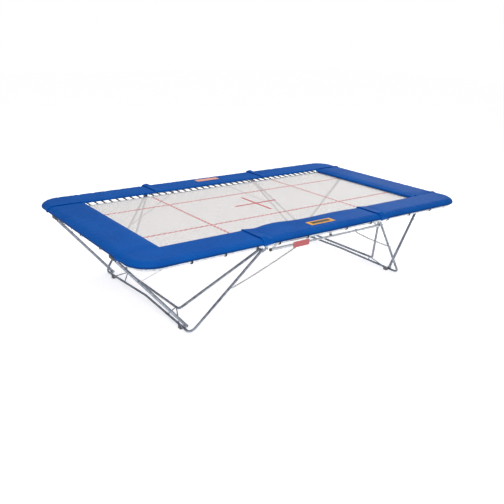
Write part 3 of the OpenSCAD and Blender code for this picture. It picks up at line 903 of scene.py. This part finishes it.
SPRING_PITCH = 2 * BED_X / 40
END_PITCH = 2 * BED_Y / 19
CENTRE_SPRINGS = [(i + 0.5) * SPRING_PITCH for i in range(-9, 9)]
END_SIDE_SPRINGS = [(i + 0.5) * SPRING_PITCH for i in range(9, 20)]
END_SPRINGS = [(i - 9) * END_PITCH for i in range(19)]
mid, mid_loops = Shape(), Shape()
for sy in SIDES.values():
    hem_band(mid, -WX, WX, BED_Y * sy, sy, 30)
    loops_along(mid_loops, [x for x in CENTRE_SPRINGS if abs(x) < WX], side_edge(sy), (1, 0, 0))
mid.on(CENTRE, "bed_hem_centre", HEM, "bed_web")
mid_loops.on(CENTRE, "bed_loops_centre", STRAP, "black_webbing")
for end_name, sx in ENDS.items():
    hem, loops = Shape(), Shape()
    for sy in SIDES.values():
        hem_band(hem, WX * sx, BED_X * sx, BED_Y * sy, sy, 48)
        places = [x * sx for x in CENTRE_SPRINGS if x > WX] + [x * sx for x in END_SIDE_SPRINGS]
        loops_along(loops, places, side_edge(sy), (1, 0, 0))
    steps, edge_x, edge_z = 60, (BED_X - HEM_HALF) * sx, BED_Z - 0.0024
    edge = [(edge_x, -BED_Y + 2 * BED_Y * k / steps, edge_z) for k in range(steps + 1)]
    hem.band(edge, (1, 0, 0), HEM_HALF, HEM_THICK)
    loops_along(loops, END_SPRINGS,
                lambda at, o, z, sx=sx: Vector(((BED_X + o) * sx, at, BED_MIDDLE + z)), (0, 1, 0))
    for obj in (hem.done(f"bed_hem_{end_name}", HEM, "bed_web"),
                loops.done(f"bed_loops_{end_name}", STRAP, "black_webbing")):
        bend_at_fold(obj, end_name, sx)


# ---------- springs ----------

SPAN = RAIL_Y - RAIL_HALF - BED_Y                 # from the bed's edge to the rail
SPRING_Z = BED_Z - 0.005


def spring_shape():
    """One spring along +Y: a hook through the webbing loop, a close coil, and an eye over the peg."""
    s = Shape()
    wire, radius, pitch, segments = 0.0019, 0.0092, 0.0056, 9
    first, last = 0.031, SPAN - 0.036
    turns = int((last - first) / pitch)
    count = turns * segments
    coil = []
    for i in range(count + 1):
        a = math.tau * i / segments
        r = radius * min(1.0, 0.45 + 0.55 * min(i, count - i) / (segments * 2.5))
        coil.append((r * math.cos(a), first + (last - first) * i / count, r * math.sin(a)))
    s.tube(coil, wire, sides=5)
    hook = [(0, first + 0.004, 0.003), (0, first - 0.003, 0.002), (0.007, first - 0.009, 0),
            (0.0145, 0.0165, 0), (0.0145, 0.0085, 0), (0.011, 0.0065, 0), (-0.011, 0.0065, 0),
            (-0.0145, 0.0085, 0), (-0.0145, 0.0165, 0), (-0.007, first - 0.009, 0),
            (-0.001, first - 0.003, 0.001)]
    s.tube(hook, wire, sides=6)
    eye_y = SPAN - 0.010
    eye = [(0, last - 0.004, 0.003), (0, last + 0.006, 0.001)]
    eye += [(0.0075 * math.sin(a), eye_y - 0.0075 * math.cos(a), 0) for a in around(14)]
    s.tube(eye, 0.0018, sides=6)
    return s


spring = spring_shape()
coil_mesh = make("spring", spring.verts, spring.faces).data
bpy.data.objects.remove(bpy.data.objects["spring"])
coil_mesh.materials.append(SPRING)


def spring_row(name, body, origin, turn, count, step, node):
    """Springs side by side from one at origin, each turned from +Y by the same angle."""
    obj = into_scene(name, coil_mesh)
    obj.matrix_world = Matrix.Translation(Vector(origin)) @ Matrix.Rotation(turn, 4, "Z")
    m = obj.modifiers.new("row", "ARRAY")
    m.count, m.use_relative_offset, m.use_constant_offset = count, False, True
    m.constant_offset_displace = (step, 0, 0)
    ride(obj, body)
    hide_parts(node)


for side_name, sy in SIDES.items():
    turn, y = 0 if sy > 0 else math.pi, BED_Y * sy
    spring_row(f"springs_centre_{side_name}", CENTRE, (CENTRE_SPRINGS[0], y, SPRING_Z), turn,
               len(CENTRE_SPRINGS), SPRING_PITCH * sy, "centre_springs")
    for end_name, sx in ENDS.items():
        origin = (END_SIDE_SPRINGS[0] * sx, y, SPRING_Z)
        spring_row(f"springs_{end_name}_{side_name}", f"end_{end_name}", origin, turn,
                   len(END_SIDE_SPRINGS), SPRING_PITCH * sx * sy, f"springs_{end_name}")
for end_name, sx in ENDS.items():
    spring_row(f"springs_end_{end_name}", f"end_{end_name}", (BED_X * sx, END_SPRINGS[0], SPRING_Z),
               -sx * math.pi / 2, len(END_SPRINGS), -END_PITCH * sx, f"springs_{end_name}")


# ---------- straps ----------

def strap_shape(shape, at, out_dir, along_dir):
    """Elastic strap from the skirt's foot round under the rail, with a hook tab on its outer side."""
    profile = [
        (0.0380, 0.026), (0.0300, 0.012), (0.0245, 0.002), (0.0238, -0.010), (0.0190, -0.024),
        (0.0090, -0.0325), (-0.0060, -0.0335), (-0.0170, -0.027), (-0.0232, -0.013), (-0.0240, 0.004),
        (-0.0265, 0.020), (-0.030, 0.034)]
    origin = Vector(at)
    path = [origin + out_dir * o + UP * (RAIL_Z + h) for o, h in profile]
    shape.band(path, along_dir, 0.0085, 0.0012)
    tab = [origin + out_dir * o + UP * (RAIL_Z + h) for o, h in (
        (0.0285, 0.006), (0.0268, -0.004), (0.0262, -0.014), (0.0222, -0.026))]
    shape.band(tab, along_dir, 0.0100, 0.0018)


STRAPS = {"centre": ((-1, 1), (3, 7)), "left": ((-1,), (10, 14, 18)), "right": ((1,), (10, 14, 18))}
for key, (signs, counts) in STRAPS.items():
    shape, central = Shape(), key == "centre"
    for sx in signs:
        for sy in SIDES.values():
            for k in counts:
                strap_shape(shape, (k * SPRING_PITCH * sx, RAIL_Y * sy, 0), Vector((0, sy, 0)), (1, 0, 0))
        if not central:
            for y in (-0.56, 0, 0.56):
                strap_shape(shape, (RAIL_X * sx, y, 0), Vector((sx, 0, 0)), (0, 1, 0))
    obj = shape.on(CENTRE if central else f"end_{key}", f"straps_{key}", STRAP, "black_webbing")
    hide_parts("centre_pad_straps" if central else f"pad_straps_{key}")


# ---------- patches and the marker plate ----------

patch_low, patch_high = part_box("pad_label_patches")
cx, steps_x, steps_y = (patch_low.x + patch_high.x) / 2, 26, 9
for side_name, sy in SIDES.items():
    cy = (patch_high.y - 0.0625) * sy
    surface = surfaces[side_name]
    width, depth = 0.39, 0.125 if sy < 0 else 0.115

    def lay(u, v, lift):
        x, y = cx + (u - 0.5) * width, cy + (v - 0.5) * depth
        hit = surface.ray_cast(Vector((x, y, PAD_TOP + 0.2)), -UP)[0]
        return Vector((x, y, (hit.z if hit else PAD_TOP) + lift))

    def laid_panel(u0, u1, v0, v1, lift):
        """Thin panel on the pad, as shares of the patch's width and depth."""
        s = Shape()
        rings = []
        for i in range(steps_x + 1):
            u = u0 + (u1 - u0) * i / steps_x
            over = [lay(u, v0 + (v1 - v0) * j / steps_y, lift) for j in range(steps_y + 1)]
            under = [lay(u, v0 + (v1 - v0) * j / steps_y, 0.0002) for j in range(steps_y, -1, -1)]
            rings.append(over + under)
        s.loft(rings)
        return s

    colour = ORANGE if sy < 0 else PEACH
    obj = laid_panel(0, 1, 0, 1, 0.0016).on(CENTRE, f"patch_{side_name}", colour, "orange_patch")
    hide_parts("pad_label_patches")
    if sy < 0:
        band = laid_panel(0.12, 0.88, 0.26, 0.76, 0.0034)
        band.on(CENTRE, "patch_near_band", DARK, "orange_patch")
    thread = Shape()
    inset = 0.006
    x0, x1 = cx - width / 2 + inset, cx + width / 2 - inset
    y0, y1 = cy - depth / 2 + inset, cy + depth / 2 - inset
    corners = [(x, y, PAD_TOP) for x, y in ((x0, y0), (x1, y0), (x1, y1), (x0, y1), (x0, y0))]
    stitches(thread, surface, corners, 0.006, 0.004, 0.0019)
    thread.on(CENTRE, f"patch_thread_{side_name}", STRAP, "black_webbing")

plate_low, plate_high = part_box("bar_marker_plate")
screws = Shape()
screw_profile = [(0, 0.0052), (0.0012, 0.0050), (0.0022, 0.0036), (0.0026, 0.0016), (0.0026, 0.0004)]
for x in (plate_low.x + 0.016, plate_high.x - 0.016):
    for z in (plate_low.z + 0.014, plate_high.z - 0.014):
        screws.turned((x, plate_low.y + 0.0005, z), (0, -1, 0), screw_profile, 14)
screws.on(CENTRE, "marker_plate_screws", PINS, "zinc_plated_pins")


# ---------- chains and stays ----------

def chain(shape, a, b, sag):
    """Welded links from a to b, each turned a quarter from the last, with a little sag."""
    pitch, wire, straight, bend = 0.0262, 0.0031, 0.0092, 0.0072
    count = int((b - a).length / pitch)
    for k in range(count):
        t = (k + 0.5) / count
        p = a.lerp(b, t) - UP * sag * 4 * t * (1 - t)
        d = ((b - a) - UP * sag * 4 * (1 - 2 * t)).normalized()
        side = d.cross(UP).normalized()
        if k % 2:
            side = d.cross(side).normalized()
        ring = []
        for s in (1, -1):
            for j in range(5):
                turn = math.pi * j / 4
                ring.append(p + d * s * (straight + bend * math.sin(turn)) + side * s * bend * math.cos(turn))
        shape.tube(ring, wire, sides=6, closed=True)


def bar_ends(node, sy):
    """Both ends of one slim bar of a node, higher end first."""
    pts = np.array([v.co for v in frame["nodes"][node].data.vertices], float)
    pts = pts[pts[:, 1] * sy > 0]
    top = pts[pts[:, 2] > pts[:, 2].max() - 0.012].mean(0)
    foot = pts[pts[:, 2] < pts[:, 2].min() + 0.012].mean(0)
    return Vector(top), Vector(foot)


for end_name, sx in ENDS.items():
    for side_name, sy in SIDES.items():
        top, foot = bar_ends(f"leg_chains_{end_name}", sy)
        line = Shape()
        chain(line, top, foot, 0.012)
        obj = line.done(f"chain_{end_name}_{side_name}", CHAIN, "chain_steel")
        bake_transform(obj)
        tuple(top)
        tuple(foot)
        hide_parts(f"leg_chains_{end_name}")

        hook = Shape()
        loop = [top + Vector((0.010 * math.sin(a), 0, 0.012 + 0.013 * math.cos(a))) for a in around(14)]
        hook.tube(loop, 0.0028, sides=6, closed=True)
        on_bar = Vector((top.x, top.y, BAR_Z))
        collar = [on_bar + Vector((0, BAR_CAP_R * math.cos(a), BAR_CAP_R * math.sin(a))) for a in around(20)]
        hook.band(collar + collar[:1], (1, 0, 0), 0.009, 0.0014)
        hook.on(CENTRE, f"chain_hook_{end_name}_{side_name}", GALVANISED, "galvanised_steel")

        top, foot = bar_ends(f"strut_stays_{end_name}", sy)
        stay = Shape()
        steps = 24
        path = [top.lerp(foot, k / steps) for k in range(steps + 1)]
        stay.tube(path, 0.0026)
        d = (foot - top).normalized()
        side = d.cross(UP).normalized()
        for e, s in ((top, -1), (foot, 1)):
            centre = e + d * s * 0.008
            stay.tube([centre + d * 0.008 * math.cos(a) + side * 0.008 * math.sin(a)
                       for a in around(12)], 0.0022, sides=6, closed=True)
            stay.turned(e - d * s * 0.002, d * -s, [(0, 0.0046), (0.018, 0.0046), (0.020, 0.003)], 12)
        obj = stay.done(f"stay_{end_name}_{side_name}", CHAIN, "chain_steel")
        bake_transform(obj)
        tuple(top)
        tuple(foot)
        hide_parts(f"strut_stays_{end_name}")


# ---------- small hardware ----------

for end_name, sx in ENDS.items():
    bolts = Shape()
    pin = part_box(f"strut_pins_{end_name}")
    px, pz = (pin[0].x + pin[1].x) / 2, (pin[0].z + pin[1].z) / 2
    for sy in SIDES.values():
        y1 = pin[1].y
        for y, d in ((y1 * sy, sy), ((2 * STRUT_Y - y1) * sy, -sy)):
            washer = [(0, 0.0115), (0.0016, 0.0118), (0.0022, 0.0105)]
            bolts.turned((px, y - d * 0.001, pz), (0, d, 0), washer, 20)
            bolts.hexagon((px, y + d * 0.001, pz), (0, d, 0), 0.0092, 0.0065)
    bolts.on(f"end_{end_name}", f"strut_bolts_{end_name}", PINS, "zinc_plated_pins", smooth=False)

caps = Shape()
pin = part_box("leg_hinge_pins")
for sx in (-1, 1):
    for sy in (-1, 1):
        x, y, z = LEG_PIN_X * sx, pin[1].y * sy, (pin[0].z + pin[1].z) / 2
        caps.hexagon((x, y - 0.0005 * sy, z), (0, sy, 0), 0.0088, 0.006)
        caps.turned((x, y + 0.0053 * sy, z), (0, sy, 0), [(0, 0.0052), (0.004, 0.0050), (0.0055, 0.0036)], 16)
caps.on(CENTRE, "leg_pin_nuts", PINS, "zinc_plated_pins", smooth=False)


# ---------- stage, lights and camera ----------

def floor_material():
    m, t, where = start("floor")
    tone = noise_of(t, where, 0.6, 3.0)
    return dressed(m, {
        "Base Color": blend_colour(t, tone, (0.93, 0.93, 0.93), (0.96, 0.96, 0.96)),
        "Roughness": 0.8, "Specular IOR Level": 0.2, "Emission Color": (1, 1, 1),
        "Emission Strength": 0.52,
    })


floor = make("floor", [(-40, -40, 0), (40, -40, 0), (40, 40, 0), (-40, 40, 0)], [(0, 1, 2, 3)], False)
floor.data.materials.append(floor_material())

world = bpy.data.worlds.new("studio")
world.use_nodes = True
sky = world.node_tree
seen = add(sky, "LightPath").outputs["Is Camera Ray"]
put(sky, sky.nodes["Background"].inputs[1], ranged(sky, seen, 0.0, 1.0, 0.50, 1.0))
put(sky, sky.nodes["Background"].inputs[0], (1.0, 1.0, 1.0))
scene.world = world


def area(name, place, target, size, power):
    light = bpy.data.lights.new(name, "AREA")
    light.shape, light.size, light.size_y, light.energy = "RECTANGLE", *size, power
    obj = into_scene(name, light)
    obj.location = place
    obj.rotation_euler = (Vector(target) - Vector(place)).to_track_quat("-Z", "Y").to_euler()


area("key", (-3.5, -4.5, 6.0), (0, 0, 1), (5, 4), 230)
area("top", (1.5, 2.0, 7.5), (0, 0, 1), (7, 5), 200)
area("rim", (6.5, 3.0, 3.5), (0, 0, 0.8), (3, 3), 60)

azimuth, elevation, roll = math.radians(-36.70), math.radians(19.74), 0.026
level_reach = math.cos(elevation)
back = Vector((math.sin(azimuth) * level_reach, -math.cos(azimuth) * level_reach, math.sin(elevation)))
level = (-back).cross(UP).normalized()
upright = level.cross(-back)
right = level * math.cos(roll) + upright * math.sin(roll)
top = upright * math.cos(roll) - level * math.sin(roll)
camera_data = bpy.data.cameras.new("camera")
camera_data.lens, camera_data.sensor_width = 44.12, 36.0
camera_data.clip_end = 200
camera = into_scene("camera", camera_data)
centre = Vector((-1.242, -1.606, 1.060)) + back * 6.70
camera.matrix_world = Matrix((
    (right.x, top.x, back.x, centre.x), (right.y, top.y, back.y, centre.y),
    (right.z, top.z, back.z, centre.z), (0, 0, 0, 1)))
scene.camera = camera
scene.view_settings.view_transform = "Standard"
